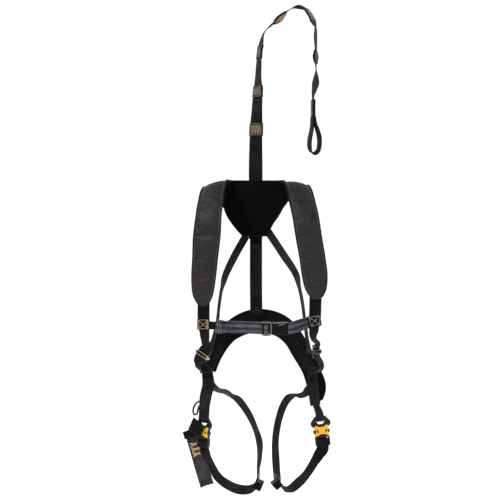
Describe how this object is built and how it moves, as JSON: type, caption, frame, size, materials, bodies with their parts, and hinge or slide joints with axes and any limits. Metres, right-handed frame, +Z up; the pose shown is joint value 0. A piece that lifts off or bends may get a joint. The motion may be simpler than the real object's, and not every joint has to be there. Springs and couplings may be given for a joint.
{
  "type": "safety harness vest",
  "caption": "Full-body fall-arrest harness vest in its worn shape, with padded shoulders, chest and leg buckles and a dorsal tether ending in an eye.",
  "frame": {"origin": "dorsal anchor: middle of the tether where it is sewn to the top edge of the back pad", "axes": "+Z up, -Y towards the front (chest), +X to the viewer's right when looking at the chest"},
  "size_m": [0.4632, 0.2586, 1.5824],
  "materials": {
    "webbing": "woven polyester webbing, satin",
    "chest_webbing": "woven webbing, blue-grey",
    "pad_fabric": "smooth coated nylon over foam, piped edge",
    "yoke_mesh": "air mesh, matte",
    "belt_mesh": "air mesh, matte",
    "buckle_plastic": "moulded acetal, semi-gloss",
    "black_metal": "black coated alloy, worn edges",
    "bare_steel": "plated steel",
    "brass_finish": "yellow zinc plated steel",
    "yellow_cover": "moulded yellow cover, semi-gloss"
  },
  "bodies": {
    "harness": {"back_pad": "yoke_mesh", "shoulder_pad_left": "pad_fabric", "shoulder_pad_right": "pad_fabric", "lumbar_belt": "belt_mesh", "shoulder_webbing_left": "webbing", "shoulder_webbing_right": "webbing", "hip_webbing_left": "webbing", "hip_webbing_right": "webbing", "diagonal_strap_left": "webbing", "diagonal_strap_right": "webbing", "spine_strap": "webbing", "leg_tab_left": "webbing", "leg_tab_right": "webbing", "torso_loop_left": "webbing", "torso_loop_right": "webbing", "gear_loop": "webbing", "leg_strap_tail_left": "webbing", "tether_lower": "webbing", "tether_arc": "webbing", "leg_strap_left": "webbing", "leg_strap_right": "webbing", "chest_strap_left": "chest_webbing", "chest_keeper": "chest_webbing", "chest_tab_left": "chest_webbing", "chest_strap_right": "chest_webbing", "chest_buckle_female": "buckle_plastic", "leg_back_plate_left": "black_metal", "leg_front_plate_left": "black_metal", "leg_cover_left": "yellow_cover", "leg_rivets_left": "bare_steel", "leg_tab_spring_left": "bare_steel", "leg_back_plate_right": "black_metal", "leg_front_plate_right": "black_metal", "leg_cover_right": "yellow_cover", "leg_rivets_right": "bare_steel", "leg_tab_spring_right": "bare_steel", "torso_adjuster_frame_left": "black_metal", "torso_adjuster_frame_right": "bare_steel"},
    "chest_male": {"chest_buckle_male": "buckle_plastic"},
    "prong_upper": {"chest_prong_upper": "buckle_plastic"},
    "prong_lower": {"chest_prong_lower": "buckle_plastic"},
    "tether_end": {"tether_tail": "webbing", "tether_end_loop": "webbing"},
    "lineman": {"lineman_loop": "webbing"},
    "tongue_left": {"leg_tongue_left": "black_metal"},
    "tab_outer_left": {"leg_release_tab_outer_left": "black_metal"},
    "tab_inner_left": {"leg_release_tab_inner_left": "black_metal"},
    "leg_bar_left": {"leg_adjuster_bar_left": "bare_steel"},
    "torso_bar_left": {"torso_adjuster_bar_left": "brass_finish"},
    "tongue_right": {"leg_tongue_right": "black_metal"},
    "tab_outer_right": {"leg_release_tab_outer_right": "black_metal"},
    "tab_inner_right": {"leg_release_tab_inner_right": "black_metal"},
    "leg_bar_right": {"leg_adjuster_bar_right": "bare_steel"},
    "torso_bar_right": {"torso_adjuster_bar_right": "bare_steel"}
  },
  "joints": [
    {"name": "chest_release", "type": "slide", "parent": "harness", "child": "chest_male", "axis": [-1, 0, 0], "range_m": [0, 0.04], "deforming": ["chest_strap_left"]},
    {"name": "prong_upper_flex", "type": "hinge", "parent": "chest_male", "child": "prong_upper", "pos_m": [0.0518, -0.226, -0.4627], "axis": [0, 1, 0], "range_deg": [0, 14]},
    {"name": "prong_lower_flex", "type": "hinge", "parent": "chest_male", "child": "prong_lower", "pos_m": [0.0518, -0.226, -0.4853], "axis": [0, -1, 0], "range_deg": [0, 14]},
    {"name": "tether_end_swing", "type": "hinge", "parent": "harness", "child": "tether_end", "pos_m": [0.1898, 0.003, 0.477], "axis": [0, 1, 0], "range_deg": [-25, 20]},
    {"name": "lineman_loop_swing", "type": "hinge", "parent": "harness", "child": "lineman", "pos_m": [-0.2055, -0.116, -0.812], "axis": [0.9613, 0, 0.2756], "range_deg": [-8, 35]},
    {"name": "leg_release_left", "type": "slide", "parent": "harness", "child": "tongue_left", "axis": [0.0698, 0, 0.9976], "range_m": [0, 0.024], "deforming": ["leg_tab_left"]},
    {"name": "leg_tab_outer_left", "type": "slide", "parent": "harness", "child": "tab_outer_left", "axis": [0.7642, -0.6428, -0.0534], "range_m": [0, 0.003], "deforming": ["leg_tab_spring_left"]},
    {"name": "leg_tab_inner_left", "type": "slide", "parent": "harness", "child": "tab_inner_left", "axis": [-0.7642, 0.6428, 0.0534], "range_m": [0, 0.003]},
    {"name": "leg_adjuster_left", "type": "slide", "parent": "harness", "child": "leg_bar_left", "axis": [0.0698, 0, 0.9976], "range_m": [0, 0.003]},
    {"name": "torso_adjuster_left", "type": "slide", "parent": "harness", "child": "torso_bar_left", "axis": [0.5299, 0, 0.848], "range_m": [0, 0.012]},
    {"name": "leg_release_right", "type": "slide", "parent": "harness", "child": "tongue_right", "axis": [-0.1219, 0, 0.9925], "range_m": [0, 0.024], "deforming": ["leg_tab_right"]},
    {"name": "leg_tab_outer_right", "type": "slide", "parent": "harness", "child": "tab_outer_right", "axis": [-0.9775, -0.1736, -0.12], "range_m": [0, 0.003], "deforming": ["leg_tab_spring_right"]},
    {"name": "leg_tab_inner_right", "type": "slide", "parent": "harness", "child": "tab_inner_right", "axis": [0.9775, 0.1736, 0.12], "range_m": [0, 0.003]},
    {"name": "leg_adjuster_right", "type": "slide", "parent": "harness", "child": "leg_bar_right", "axis": [-0.1219, 0, 0.9925], "range_m": [0, 0.003]},
    {"name": "torso_adjuster_right", "type": "slide", "parent": "harness", "child": "torso_bar_right", "axis": [0, 0, 1], "range_m": [0, 0.012]}
  ],
  "couplings": [
    {"joint": "prong_upper_flex", "follows": "chest_release", "rad_per_m": 6.1087},
    {"joint": "prong_lower_flex", "follows": "chest_release", "rad_per_m": 6.1087},
    {"joint": "leg_tab_outer_left", "follows": "leg_release_left", "ratio": 0.125},
    {"joint": "leg_tab_inner_left", "follows": "leg_release_left", "ratio": 0.125},
    {"joint": "leg_tab_outer_right", "follows": "leg_release_right", "ratio": 0.125},
    {"joint": "leg_tab_inner_right", "follows": "leg_release_right", "ratio": 0.125}
  ]
}
